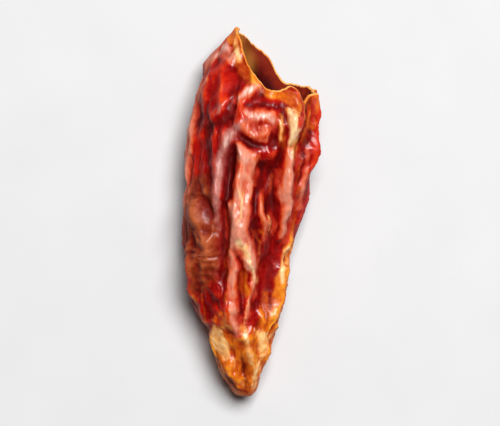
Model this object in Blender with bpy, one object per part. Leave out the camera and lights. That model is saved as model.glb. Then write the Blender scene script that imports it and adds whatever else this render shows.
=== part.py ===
"""Dried chili pepper: a small hollow pod without its stem and calyx, on its side with loose seeds in it.

The pod lies along Y with its torn mouth at +Y and its blossom tip at -Y. Z is up and the floor is Z = 0.
Lengths are millimetres, and a point's place along the pod is measured from its tip, until in_frame.
"""

import math
import random

import bmesh
import bpy
import numpy as np
from mathutils import Quaternion, Vector, noise
from mathutils.bvhtree import BVHTree

MM = 0.001

# Driving dimensions
POD_LENGTH = 40.0
SKIN = 0.8
SKIN_AT_RIM = 0.55
RIM_TAPER = 3.0
CAVITY_END = 3.6
CAVITY_ROUNDING = 3.0
THINNEST_FLOOR = 0.6

# The loft's grid
SIDES = 68
OUTER_ROWS = 60
INNER_ROWS = 26
USUAL_RIM = 34.0
RIM_BLEND_START = 0.5
ROW_CROWDING = 1.25

# Sections of the pod: distance from the tip, left edge, right edge, underside and top
SECTIONS = (
    (0.0, -0.70, -0.10, 2.90, 3.40),
    (0.3, -1.55, 0.35, 2.20, 4.10),
    (1.0, -2.15, 0.70, 1.60, 4.80),
    (2.6, -3.00, 1.12, 1.05, 5.60),
    (5.3, -3.50, 2.05, 0.65, 6.60),
    (8.5, -5.30, 3.08, 0.25, 7.80),
    (12.4, -6.70, 3.75, -0.10, 8.80),
    (17.7, -7.35, 4.95, -0.30, 9.90),
    (23.0, -7.00, 5.95, -0.30, 10.50),
    (28.3, -6.55, 6.90, -0.30, 10.70),
    (32.6, -5.90, 7.30, 0.00, 10.50),
    (35.6, -4.85, 6.25, 0.55, 9.80),
    (38.0, -3.40, 4.85, 1.40, 8.60),
    (40.2, -1.55, 3.10, 2.70, 6.90),
)

# How sharply each side of the section comes to an edge: 1 is round and more is sharper
PINCH_LEFT = 1.25
PINCH_RIGHT = 0.95

# The torn rim: angle round the section, then distance from the tip.
# The angle is 0 at the right edge, 90 at the top and 180 at the left edge.
RIM = (
    (0, 33.1),
    (14, 32.9),
    (31, 32.3),
    (39, 31.9),
    (45, 32.7),
    (55, 33.7),
    (66, 33.1),
    (80, 33.2),
    (87, 34.0),
    (94, 35.0),
    (102, 36.1),
    (110, 37.5),
    (124, 39.0),
    (150, 39.8),
    (180, 40.1),
    (215, 39.8),
    (245, 39.2),
    (270, 38.2),
    (286, 37.1),
    (296, 35.2),
    (304, 34.3),
    (318, 34.1),
    (336, 33.6),
)

# Rounded folds: half width, height (minus for a groove), then a line of (across, along)
TOP_FOLDS = (
    (0.55, -0.45, ((-1.3, 28.3), (-2.0, 26.0), (-2.4, 22.0), (-2.6, 17.5), (-2.5, 13.0), (-2.4, 9.0))),
    (2.10, -1.25, ((1.6, 26.5), (2.3, 20.5), (2.4, 16.0), (2.0, 12.0), (1.2, 8.5))),
    (0.55, 0.55, ((1.3, 22.6), (1.3, 20.0), (1.9, 17.4))),
    (0.55, 0.40, ((2.0, 19.8), (2.7, 18.2))),
    (0.60, -0.45, ((5.6, 30.6), (5.4, 27.0), (5.0, 22.0), (4.5, 17.0))),
    (0.70, 0.55, ((6.4, 28.4), (6.1, 25.0), (5.5, 21.0))),
    (0.80, 0.60, ((4.1, 16.0), (3.4, 12.5), (2.6, 8.0))),
    (0.80, -0.40, ((-4.9, 29.5), (-4.8, 26.0), (-4.4, 22.0))),
    (0.80, -0.30, ((-0.8, 31.6), (0.8, 31.8), (2.6, 31.4), (4.4, 31.3))),
    (0.90, 0.50, ((-1.2, 32.3), (0.6, 33.6))),
    (0.70, -0.25, ((-1.2, 28.6), (-0.2, 27.4), (1.2, 27.2), (2.6, 28.0))),
    (0.60, 0.35, ((-3.6, 6.9), (-2.6, 4.0), (-1.4, 1.4))),
    (0.60, 0.50, ((-0.6, 6.6), (-0.2, 5.2), (0.3, 3.4), (0.4, 1.4))),
    (0.60, 0.50, ((2.2, 6.3), (1.4, 4.6), (0.6, 3.2))),
    (0.60, -0.60, ((-0.8, 5.2), (-0.6, 3.4), (-0.4, 1.2))),
)
BOTTOM_FOLDS = (
    (1.10, -1.10, ((-4.9, 32.0), (-5.4, 21.0), (-3.7, 11.0))),
    (0.90, -0.80, ((5.6, 31.0), (4.5, 20.0), (2.6, 10.0))),
    (0.90, 0.60, ((-1.0, 36.5), (-0.8, 31.5))),
    (0.80, -0.70, ((1.6, 37.0), (2.6, 31.5))),
    (0.80, -0.70, ((-3.2, 36.0), (-3.4, 31.5))),
    (0.80, -0.75, ((-1.8, 9.0), (-1.0, 4.5), (-0.6, 1.5))),
    (0.80, 0.50, ((0.9, 9.0), (0.3, 4.0))),
)
FOLD_TAPER = 2.0
FOLD_END_SHARE = 0.2

# Flat-topped folds of the top: height, width of the sloping edge, then a line of (across, along, half width)
FACETS = (
    (0.55, 0.80, ((-1.2, 27.0, 0.2), (-0.4, 25.8, 0.9), (-0.4, 24.3, 0.9), (-0.9, 21.1, 0.9))),
    (0.55, 0.80, ((-0.9, 21.1, 0.9), (-1.4, 18.0, 1.0), (-0.6, 16.0, 1.1), (0.2, 14.2, 0.6))),
    (0.45, 0.70, ((-2.2, 21.0, 0.3), (-2.0, 15.8, 0.4), (-1.8, 13.8, 0.6), (-2.0, 10.6, 0.3))),
    (0.45, 0.70, ((-2.0, 10.6, 0.3), (-1.6, 7.8, 0.6))),
    (0.45, 0.60, ((0.2, 14.2, 0.4), (0.6, 12.6, 0.2), (-0.2, 10.3, 0.2), (-0.5, 8.7, 0.1))),
    (0.55, 0.80, ((4.2, 30.9, 0.4), (4.7, 29.0, 0.8), (4.7, 27.4, 0.6), (4.1, 24.8, 0.6), (3.9, 23.2, 0.7))),
    (0.55, 0.80, ((3.9, 23.2, 0.7), (4.1, 20.1, 0.6), (3.6, 17.2, 0.3))),
    (0.30, 0.80, ((-0.6, 30.2, 0.4), (0.8, 30.5, 0.7), (2.2, 30.2, 0.5))),
    (0.30, 0.90, ((-0.4, 29.8, 0.3), (-2.6, 27.8, 0.8), (-3.3, 24.8, 0.7), (-3.6, 19.5, 0.6))),
    (0.30, 0.90, ((-3.6, 19.5, 0.6), (-3.2, 17.0, 0.2))),
    (0.30, 1.60, ((-5.8, 24.5, 0.3), (-5.2, 18.5, 1.4), (-5.0, 15.0, 1.4), (-4.8, 10.5, 0.6))),
)
FACET_DRIFT = 0.40
FACET_DRIFT_SIZE = 1.8

# Wrinkles between the folds: soft pillows between creases, by their width, length and height,
# and bowls between angular ridges, by their spacing across the pod, stretch along it, height and seed.
# A bowl's rim rises with the square of its distance from the bowl's centre, up to a flat top.
PILLOWS = (3.0, 8.0, 2.00)
PILLOW_MEAN = 0.22
CRUMPLES = (2.0, 2.2, 0.90, 11)
CRUMPLE_REACH = 0.60
CRUMPLE_MEAN = 0.45
CRUMPLE_TOP = 1.2
CRUMPLE_SPACE = ((-9.0, 9.0), (-2.0, 43.0), (-2.0, 13.0))
WRINKLE_DRIFT = 1.4
DRIFT_SIZE = 6.0
DRIFT_SHIFTS = ((5.2, 1.3, 9.1), (17.7, 8.3, 2.8), (3.4, 27.1, 13.6))

# Folds and wrinkles fade towards the left and right edges, and the wrinkles also at the tip,
# on top, on the neck and in deep hollows. A share is how much is left there.
EDGE_FADE = 0.35
EDGE_SHARE = 0.45
TIP_FADE = 13.0
TOP_FADE = 0.5
TOP_SHARE = 0.75
NECK_SHARE = 0.50
NECK_START = 31.0
HOLLOW_DEPTH = 1.0
HOLLOW_SHARE = 0.4

# The inner side keeps under the lowest outer skin within this reach, so that it never breaks through
INNER_REACH = 0.7

# The pod rests on a flat spot under its middle, where the wrinkles die out
FOOT = (-0.6, 20.0)
FOOT_HALF_SIZE = (3.4, 12.0)
FOOT_FADE_START = 0.5

# The seeds: flat discs with a notch, on the floor of the cavity, at places given as (across, along)
SEED_LENGTH = 3.0
SEED_WIDTH = 2.5
SEED_THICKNESS = 0.75
SEED_NOTCH = 0.28
SEED_NOTCH_ANGLE = 0.45
SEED_SEGMENTS = 20
SEED_RINGS = 8
SEED_CLEARANCE = 0.3
SEEDS = (
    (-0.6, 27.4),
    (0.9, 24.0),
    (-0.8, 20.8),
    (0.6, 17.5),
    (-0.9, 14.3),
)
TURN_SEED = 7
SHARP_ANGLE = 80


def ramp(value):
    """0 below 0, 1 above 1 and a smooth rise between them."""
    value = np.clip(value, 0.0, 1.0)
    return value * value * (3.0 - 2.0 * value)


def interpolated(table, where):
    """The table's other columns where its first one is `where`, on a smooth curve through the rows."""
    rows = np.array(table, float)
    i = np.clip(np.searchsorted(rows[:, 0], where, side="right") - 1, 0, len(rows) - 2)
    before, here = rows[np.maximum(i - 1, 0)], rows[i]
    after, beyond = rows[i + 1], rows[np.minimum(i + 2, len(rows) - 1)]
    step = (after - here)[..., :1]
    t = (where[..., None] - here[..., :1]) / step
    slope_here = step * (after - before)[..., 1:] / (after - before)[..., :1]
    slope_after = step * (beyond - here)[..., 1:] / (beyond - here)[..., :1]
    values = (2 * t**3 - 3 * t**2 + 1) * here[..., 1:] + (3 * t**2 - 2 * t**3) * after[..., 1:]
    values += (t**3 - 2 * t**2 + t) * slope_here + (t**3 - t**2) * slope_after
    return np.moveaxis(values, -1, 0)


def rim_at(angle):
    """How far from the tip the torn rim is, at these angles in radians."""
    last_turn = [(degrees - 360, along) for degrees, along in RIM[-1:]]
    next_turn = [(degrees + 360, along) for degrees, along in RIM[:2]]
    return interpolated((*last_turn, *RIM, *next_turn), np.degrees(angle) % 360)[0]


def nearest_on(start, end, across, along):
    """How far along a line's piece the nearest point to each place is, from 0 to 1, and how far away."""
    dx, dy = end[0] - start[0], end[1] - start[1]
    share = ((across - start[0]) * dx + (along - start[1]) * dy) / (dx * dx + dy * dy)
    share = np.clip(share, 0.0, 1.0)
    return share, np.hypot(across - start[0] - share * dx, along - start[1] - share * dy)


def nearest_on_line(line, across, along):
    """How far each place is from a line, and how far its nearest point is from the line's ends."""
    nearest, passed = np.full_like(across, np.inf), np.zeros_like(across)
    length = 0.0
    for start, end in zip(line, line[1:]):
        share, away = nearest_on(start, end, across, along)
        passed = np.where(away < nearest, length + share * math.dist(start, end), passed)
        nearest = np.minimum(nearest, away)
        length += math.dist(start, end)
    return nearest, np.minimum(passed, length - passed)


def fold_height(folds, across, along):
    """The sum of the rounded folds' heights at places of the plan."""
    total = np.zeros_like(across)
    for half_width, height, line in folds:
        away, from_end = nearest_on_line(line, across, along)
        end_share = FOLD_END_SHARE + (1.0 - FOLD_END_SHARE) * ramp(from_end / FOLD_TAPER)
        total += height * np.exp(-((away / half_width) ** 2)) * end_share
    return total


def facet_height(facets, across, along):
    """The height of the flat-topped folds at places of the plan, the highest where they meet."""
    highest = np.zeros_like(across)
    for height, edge, line in facets:
        outside = np.full_like(across, np.inf)
        for start, end in zip(line, line[1:]):
            share, away = nearest_on(start[:2], end[:2], across, along)
            outside = np.minimum(outside, away - start[2] - share * (end[2] - start[2]))
        highest = np.maximum(highest, height * np.clip(0.5 - outside / edge, 0.0, 1.0))
    return highest


def noise_at(places):
    """Smooth noise at each place."""
    flat = places.reshape(-1, 3).tolist()
    return np.array([noise.noise(place) for place in flat]).reshape(places.shape[:-1])


def drifted(places, size, amount):
    """The places pushed about, so that a pattern made at them meanders."""
    pushes = [noise_at(places / size + np.array(shift)) for shift in DRIFT_SHIFTS]
    return places + np.stack(pushes, axis=-1) * amount


def pillow_height(pillows, places):
    """Soft pillows between creases, or hollows between ridges where the height is minus."""
    width, length, height = pillows
    return height * (np.abs(noise_at(places / np.array((width, length, width)))) - PILLOW_MEAN)


def crumple_height(crumples, places):
    """Bowls between angular ridges: each bowl lies round one of the seeded random centres."""
    spacing, stretch, height, seed = crumples
    size = np.array((spacing, spacing * stretch, spacing))
    low, high = (np.array(CRUMPLE_SPACE) / size[:, None]).T
    centres = np.random.default_rng(seed).uniform(low, high, (int(np.prod(high - low)), 3))
    bowls = []
    for row in places / size:
        apart = np.sum(row**2, axis=-1)[:, None] + np.sum(centres**2, axis=-1) - 2.0 * row @ centres.T
        bowls.append(np.min(apart, axis=1))
    return height * (np.minimum(np.array(bowls) / CRUMPLE_REACH, CRUMPLE_TOP) - CRUMPLE_MEAN)


def section(along):
    """Centre, middle height, half width and half height of the pod's plain section."""
    left, right, under, top = interpolated(SECTIONS, along)
    return (left + right) / 2, (under + top) / 2, (right - left) / 2, (top - under) / 2


def foot_share(across, along):
    """1 in the middle of the flat spot and 0 outside it."""
    reach = np.hypot((across - FOOT[0]) / FOOT_HALF_SIZE[0], (along - FOOT[1]) / FOOT_HALF_SIZE[1])
    return 1.0 - ramp((reach - FOOT_FADE_START) / (1.0 - FOOT_FADE_START))


def faded(share, where):
    """1 where `where` is 0, falling to the share where it is 1 or more."""
    return 1.0 - (1.0 - share) * ramp(where)


def relief(angle, along):
    """How far the folds and wrinkles lift the outer side from its plain section."""
    centre, middle, half_width, half_height = section(along)
    sine = np.sin(angle)
    x, z = centre + half_width * np.cos(angle), middle + half_height * sine
    places = np.stack((x, along, z), axis=-1)
    moved = drifted(places, FACET_DRIFT_SIZE, FACET_DRIFT)
    top = fold_height(TOP_FOLDS, x, along) + facet_height(FACETS, moved[..., 0], moved[..., 1])
    folds = np.where(sine > 0, top, fold_height(BOTTOM_FOLDS, x, along))
    from_edge = np.abs(sine) / EDGE_FADE
    share = ramp(along / TIP_FADE) * faded(EDGE_SHARE, 1.0 - from_edge)
    share *= faded(NECK_SHARE, (along - NECK_START) / (POD_LENGTH - NECK_START))
    share *= faded(HOLLOW_SHARE, -folds / HOLLOW_DEPTH)
    share *= np.where(sine > 0, faded(TOP_SHARE, sine / TOP_FADE), 1.0 - foot_share(x, along))
    moved = drifted(places, DRIFT_SIZE, WRINKLE_DRIFT)
    wrinkles = pillow_height(PILLOWS, moved) + crumple_height(CRUMPLES, moved)
    return ramp(from_edge) * folds + share * wrinkles


def skin_points(angle, along, inner):
    """Points of the skin's outer or inner side."""
    centre, middle, half_width, half_height = section(along)
    cosine, sine = np.cos(angle), np.sin(angle)
    pinch = PINCH_LEFT + (PINCH_RIGHT - PINCH_LEFT) * ramp((cosine + 1) / 2)
    lift = np.copysign(np.abs(sine) ** pinch, sine)
    normal_x, normal_z = cosine / half_width, sine / half_height
    size = np.hypot(normal_x, normal_z)
    if inner:
        behind_rim = ramp((rim_at(angle) - along) / RIM_TAPER)
        thickness = SKIN_AT_RIM + (SKIN - SKIN_AT_RIM) * behind_rim
        into = np.clip((along - CAVITY_END) / CAVITY_ROUNDING, 0.0, 1.0)
        closing = np.sqrt(1.0 - (1.0 - into) ** 2)
        reach = INNER_REACH * behind_rim
        steps = [(a, b) for a in (-1, 0, 1) for b in (-1, 0, 1)]
        around = [relief(angle + a * reach / half_width, along + b * reach) for a, b in steps]
        height = closing * np.min(around, axis=0)
        half_width = (half_width - thickness) * closing
        half_height = (half_height - thickness) * closing
    else:
        height = relief(angle, along)
    x = centre + half_width * cosine + normal_x / size * height
    z = middle + half_height * lift + normal_z / size * height
    return np.stack((x, along, np.maximum(z, THINNEST_FLOOR if inner else 0.0)), axis=-1)


def row_places(share, angle, start):
    """How far from the tip a grid row is at these angles, where share is 0 at `start` and 1 on the rim."""
    usual = start + (USUAL_RIM - start) * share**ROW_CROWDING
    blend = ramp((share - RIM_BLEND_START) / (1.0 - RIM_BLEND_START))
    return usual + blend * (rim_at(angle) - USUAL_RIM)


def in_frame(point):
    """Millimetres from the tip to metres about the middle of the plan."""
    return Vector((point[0], point[1] - POD_LENGTH / 2, point[2])) * MM


def add_rings(mesh, inner):
    """Rings of vertices from the closed end to the rim, with a single vertex first."""
    rows = INNER_ROWS if inner else OUTER_ROWS
    start = CAVITY_END if inner else 0.0
    angle = np.tile(2 * np.pi * np.arange(SIDES) / SIDES, (rows + 1, 1))
    share = np.arange(rows + 1)[:, None] / rows
    points = skin_points(angle, row_places(share, angle, start), inner)
    rings = [[mesh.verts.new(in_frame(points[0].mean(axis=0)))]]
    return rings + [[mesh.verts.new(in_frame(point)) for point in ring] for ring in points[1:]]


def bridge(mesh, first, second, flipped):
    """Faces between two neighbouring rings, or from a pole to its first ring."""
    for i in range(SIDES):
        j = (i + 1) % SIDES
        if len(first) == 1:
            corners = [first[0], second[i], second[j]]
        else:
            corners = [first[i], second[i], second[j], first[j]]
        mesh.faces.new(corners[::-1] if flipped else corners)


def build_pod():
    """The skin: an outer loft and an inner loft that meet round the torn rim."""
    mesh = bmesh.new()
    outer = add_rings(mesh, inner=False)
    cavity = add_rings(mesh, inner=True)
    for first, second in zip(outer, outer[1:]):
        bridge(mesh, first, second, flipped=False)
    for first, second in zip(cavity, cavity[1:]):
        bridge(mesh, first, second, flipped=True)
    bridge(mesh, outer[-1], cavity[-1], flipped=False)
    bmesh.ops.recalc_face_normals(mesh, faces=mesh.faces)
    return finished("pod", mesh, "dried_skin")


def surface_of(made):
    """A search tree over an object's faces."""
    corners = [vertex.co for vertex in made.data.vertices]
    return BVHTree.FromPolygons(corners, [face.vertices for face in made.data.polygons])


def cavity_floor(skin, x, along):
    """The height of the cavity's floor under a point of the plan."""
    middle = float(section(np.array(along))[1])
    return skin.ray_cast(in_frame((x, along, middle)), Vector((0, 0, -1)))[0].z / MM


def floor_normal(skin, x, along):
    """Which way the cavity's floor faces under a seed."""
    reach = SEED_WIDTH / 2
    across_rise = cavity_floor(skin, x + reach, along) - cavity_floor(skin, x - reach, along)
    along_rise = cavity_floor(skin, x, along + reach) - cavity_floor(skin, x, along - reach)
    return Vector((-across_rise, -along_rise, 2 * reach)).normalized()


def build_seed(number, skin, place, turn):
    """A flat seed with a shallow notch, laid on the cavity's floor."""
    mesh = bmesh.new()
    bmesh.ops.create_uvsphere(mesh, u_segments=SEED_SEGMENTS, v_segments=SEED_RINGS, radius=0.5)
    for vertex in mesh.verts:
        around = math.atan2(vertex.co.y, vertex.co.x)
        notch = 1.0 - SEED_NOTCH * math.exp(-((around / SEED_NOTCH_ANGLE) ** 2))
        vertex.co.x *= SEED_LENGTH * notch
        vertex.co.y *= SEED_WIDTH * notch
        vertex.co.z *= SEED_THICKNESS
    upright = Vector((0, 0, 1)).rotation_difference(floor_normal(skin, *place))
    turned = upright @ Quaternion((0, 0, 1), turn)
    bmesh.ops.rotate(mesh, verts=mesh.verts, matrix=turned.to_matrix())
    floors = [cavity_floor(skin, place[0] + v.co.x, place[1] + v.co.y) - v.co.z for v in mesh.verts]
    for vertex in mesh.verts:
        vertex.co = in_frame(vertex.co + Vector((*place, max(floors) + SEED_CLEARANCE)))
    finished(f"seed_{number}", mesh, "seed")


def finished(name, mesh, slot):
    """An object in the pod's collection, shaded smooth, with its material."""
    data = bpy.data.meshes.new(name)
    mesh.to_mesh(data)
    mesh.free()
    data.shade_smooth()
    data.set_sharp_from_angle(angle=math.radians(SHARP_ANGLE))
    data.materials.append(MATERIALS[slot])
    made = bpy.data.objects.new(name, data)
    COLLECTION.objects.link(made)
    return made


def material(name, colour, roughness):
    """A plain Principled material of one colour."""
    made = bpy.data.materials.new(name)
    made.use_nodes = True
    shader = made.node_tree.nodes["Principled BSDF"]
    shader.inputs["Base Color"].default_value = (*colour, 1.0)
    shader.inputs["Roughness"].default_value = roughness
    shader.inputs["Metallic"].default_value = 0.0
    return made


def clear_scene():
    """Take out whatever the scene starts with."""
    for existing in list(bpy.data.objects):
        bpy.data.objects.remove(existing)


clear_scene()
COLLECTION = bpy.data.collections.new("dried_chili_pepper")
bpy.context.scene.collection.children.link(COLLECTION)
MATERIALS = {
    "dried_skin": material("dried_skin", (0.36, 0.025, 0.012), 0.3),
    "seed": material("seed", (0.78, 0.55, 0.25), 0.55),
}

pod_skin = surface_of(build_pod())
draw = random.Random(TURN_SEED)
for index, seed_place in enumerate(SEEDS, start=1):
    build_seed(index, pod_skin, seed_place, draw.uniform(0.0, 2 * math.pi))
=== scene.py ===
"""The looks of the dried chili pod: wrinkled glossy skin, a thin torn rim, a dull inside and pale seeds.

The skin's form and main folds repeat the part's own, and finer folds, crinkles and colours, with painted
highlights and shade among them, come on top.
Lengths are millimetres, and a point's place along the pod is measured from its tip, until a mesh is made.
The patches of colour are written in pixels of the picture, and the studio in metres.
"""

import math

import bmesh
import bpy
import numpy as np
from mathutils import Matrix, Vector, noise


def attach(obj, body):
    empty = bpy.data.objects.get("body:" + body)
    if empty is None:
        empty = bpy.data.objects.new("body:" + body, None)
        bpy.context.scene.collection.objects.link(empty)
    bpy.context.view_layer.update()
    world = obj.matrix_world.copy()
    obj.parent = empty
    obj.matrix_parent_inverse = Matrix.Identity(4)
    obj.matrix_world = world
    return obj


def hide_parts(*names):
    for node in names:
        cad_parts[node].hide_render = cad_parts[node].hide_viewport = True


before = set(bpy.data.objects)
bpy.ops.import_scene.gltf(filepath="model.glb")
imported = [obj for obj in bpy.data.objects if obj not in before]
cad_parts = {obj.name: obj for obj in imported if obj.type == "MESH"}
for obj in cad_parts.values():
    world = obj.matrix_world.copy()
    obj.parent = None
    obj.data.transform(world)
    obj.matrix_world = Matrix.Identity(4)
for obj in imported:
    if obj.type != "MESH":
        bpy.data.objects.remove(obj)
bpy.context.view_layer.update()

MM = 0.001

# Driving dimensions
POD_LENGTH = 40.0
SKIN = 0.8
SKIN_AT_RIM = 0.32
RIM_TAPER = 3.0
CAVITY_END = 3.6
CAVITY_ROUNDING = 3.0
THINNEST_FLOOR = 0.6

# The fine grid, with the rim's place as the part has it
SIDES = 320
OUTER_ROWS = 222
INNER_ROWS = 82
LIP_ROWS = 3
USUAL_RIM = 34.0
RIM_BLEND_START = 0.5
ROW_CROWDING = 1.25

# Sections of the pod: distance from the tip, left edge, right edge, underside and top
SECTIONS = (
    (0.0, -0.70, -0.10, 2.90, 3.40),
    (0.3, -1.55, 0.35, 2.20, 4.10),
    (1.0, -2.15, 0.70, 1.60, 4.80),
    (2.6, -3.00, 1.12, 1.05, 5.60),
    (5.3, -3.50, 2.05, 0.65, 6.60),
    (8.5, -5.30, 3.08, 0.25, 7.80),
    (12.4, -6.70, 3.75, -0.10, 8.80),
    (17.7, -7.35, 4.95, -0.30, 9.90),
    (23.0, -7.00, 5.95, -0.30, 10.50),
    (28.3, -6.55, 6.90, -0.30, 10.70),
    (32.6, -5.90, 7.30, 0.00, 10.50),
    (35.6, -4.85, 6.25, 0.55, 9.80),
    (38.0, -3.40, 4.85, 1.40, 8.60),
    (40.2, -1.55, 3.10, 2.70, 6.90),
)

# How sharply each side of the section comes to an edge: 1 is round and more is sharper
PINCH_LEFT = 1.25
PINCH_RIGHT = 0.95

# The torn rim: angle round the section, then distance from the tip.
# The angle is 0 at the right edge, 90 at the top and 180 at the left edge.
RIM = (
    (0, 33.1), (14, 32.9), (31, 32.3), (39, 31.9), (45, 32.7), (55, 33.7), (66, 33.1), (80, 33.2),
    (87, 34.0), (94, 35.0), (102, 36.1), (110, 37.5), (124, 39.0), (150, 39.8), (180, 40.1),
    (215, 39.8), (245, 39.2), (270, 38.2), (286, 37.1), (296, 35.2), (304, 34.3), (318, 34.1),
    (336, 33.6),
)

# Rounded folds: half width, height (minus for a groove), then a line of (across, along)
TOP_FOLDS = (
    (0.55, -0.45, ((-1.3, 28.3), (-2.0, 26.0), (-2.4, 22.0), (-2.6, 17.5), (-2.5, 13.0), (-2.4, 9.0))),
    (2.10, -1.25, ((1.6, 26.5), (2.3, 20.5), (2.4, 16.0), (2.0, 12.0), (1.2, 8.5))),
    (0.55, 0.55, ((1.3, 22.6), (1.3, 20.0), (1.9, 17.4))),
    (0.55, 0.40, ((2.0, 19.8), (2.7, 18.2))),
    (0.60, -0.45, ((5.6, 30.6), (5.4, 27.0), (5.0, 22.0), (4.5, 17.0))),
    (0.70, 0.55, ((6.4, 28.4), (6.1, 25.0), (5.5, 21.0))),
    (0.80, 0.60, ((4.1, 16.0), (3.4, 12.5), (2.6, 8.0))),
    (0.80, -0.40, ((-4.9, 29.5), (-4.8, 26.0), (-4.4, 22.0))),
    (0.80, -0.30, ((-0.8, 31.6), (0.8, 31.8), (2.6, 31.4), (4.4, 31.3))),
    (0.90, 0.50, ((-1.2, 32.3), (0.6, 33.6))),
    (0.70, -0.25, ((-1.2, 28.6), (-0.2, 27.4), (1.2, 27.2), (2.6, 28.0))),
    (0.60, 0.35, ((-3.6, 6.9), (-2.6, 4.0), (-1.4, 1.4))),
    (0.60, 0.50, ((-0.6, 6.6), (-0.2, 5.2), (0.3, 3.4), (0.4, 1.4))),
    (0.60, 0.50, ((2.2, 6.3), (1.4, 4.6), (0.6, 3.2))),
    (0.60, -0.60, ((-0.8, 5.2), (-0.6, 3.4), (-0.4, 1.2))),
)
BOTTOM_FOLDS = (
    (1.10, -1.10, ((-4.9, 32.0), (-5.4, 21.0), (-3.7, 11.0))),
    (0.90, -0.80, ((5.6, 31.0), (4.5, 20.0), (2.6, 10.0))),
    (0.90, 0.60, ((-1.0, 36.5), (-0.8, 31.5))),
    (0.80, -0.70, ((1.6, 37.0), (2.6, 31.5))),
    (0.80, -0.70, ((-3.2, 36.0), (-3.4, 31.5))),
    (0.80, -0.75, ((-1.8, 9.0), (-1.0, 4.5), (-0.6, 1.5))),
    (0.80, 0.50, ((0.9, 9.0), (0.3, 4.0))),
)
FOLD_TAPER = 2.0
FOLD_END_SHARE = 0.2

# Flat-topped folds of the top: height, width of the sloping edge, then a line of (across, along, half width)
FACETS = (
    (0.55, 0.80, ((-1.2, 27.0, 0.2), (-0.4, 25.8, 0.9), (-0.4, 24.3, 0.9), (-0.9, 21.1, 0.9))),
    (0.55, 0.80, ((-0.9, 21.1, 0.9), (-1.4, 18.0, 1.0), (-0.6, 16.0, 1.1), (0.2, 14.2, 0.6))),
    (0.45, 0.70, ((-2.2, 21.0, 0.3), (-2.0, 15.8, 0.4), (-1.8, 13.8, 0.6), (-2.0, 10.6, 0.3))),
    (0.45, 0.70, ((-2.0, 10.6, 0.3), (-1.6, 7.8, 0.6))),
    (0.45, 0.60, ((0.2, 14.2, 0.4), (0.6, 12.6, 0.2), (-0.2, 10.3, 0.2), (-0.5, 8.7, 0.1))),
    (0.55, 0.80, ((4.2, 30.9, 0.4), (4.7, 29.0, 0.8), (4.7, 27.4, 0.6), (4.1, 24.8, 0.6), (3.9, 23.2, 0.7))),
    (0.55, 0.80, ((3.9, 23.2, 0.7), (4.1, 20.1, 0.6), (3.6, 17.2, 0.3))),
    (0.30, 0.80, ((-0.6, 30.2, 0.4), (0.8, 30.5, 0.7), (2.2, 30.2, 0.5))),
    (0.30, 0.90, ((-0.4, 29.8, 0.3), (-2.6, 27.8, 0.8), (-3.3, 24.8, 0.7), (-3.6, 19.5, 0.6))),
    (0.30, 0.90, ((-3.6, 19.5, 0.6), (-3.2, 17.0, 0.2))),
    (0.30, 1.60, ((-5.8, 24.5, 0.3), (-5.2, 18.5, 1.4), (-5.0, 15.0, 1.4), (-4.8, 10.5, 0.6))),
)
FACET_DRIFT = 0.40
FACET_DRIFT_SIZE = 1.8

# Wrinkles between the folds: soft pillows between creases, by their width, length and height,
# and bowls between angular ridges, by their spacing across the pod, stretch along it, height and seed.
# A bowl's rim rises with the square of its distance from the bowl's centre, up to a flat top.
PILLOWS = (3.0, 8.0, 2.00)
PILLOW_MEAN = 0.22
CRUMPLES = (2.0, 2.2, 0.90, 11)
CRUMPLE_REACH = 0.60
CRUMPLE_MEAN = 0.45
CRUMPLE_TOP = 1.2
CRUMPLE_SPACE = ((-9.0, 9.0), (-2.0, 43.0), (-2.0, 13.0))
WRINKLE_DRIFT = 1.4
DRIFT_SIZE = 6.0
DRIFT_SHIFTS = ((5.2, 1.3, 9.1), (17.7, 8.3, 2.8), (3.4, 27.1, 13.6))

# Folds and wrinkles fade towards the left and right edges, and the wrinkles also at the tip,
# on top, on the neck and in deep hollows. A share is how much is left there.
EDGE_FADE = 0.35
EDGE_SHARE = 0.45
TIP_FADE = 13.0
TOP_FADE = 0.5
TOP_SHARE = 0.75
NECK_SHARE = 0.50
NECK_START = 31.0
HOLLOW_DEPTH = 1.0
HOLLOW_SHARE = 0.4

# The pod rests on a flat spot under its middle, where the wrinkles die out
FOOT = (-0.6, 20.0)
FOOT_HALF_SIZE = (3.4, 12.0)
FOOT_FADE_START = 0.5

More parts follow.
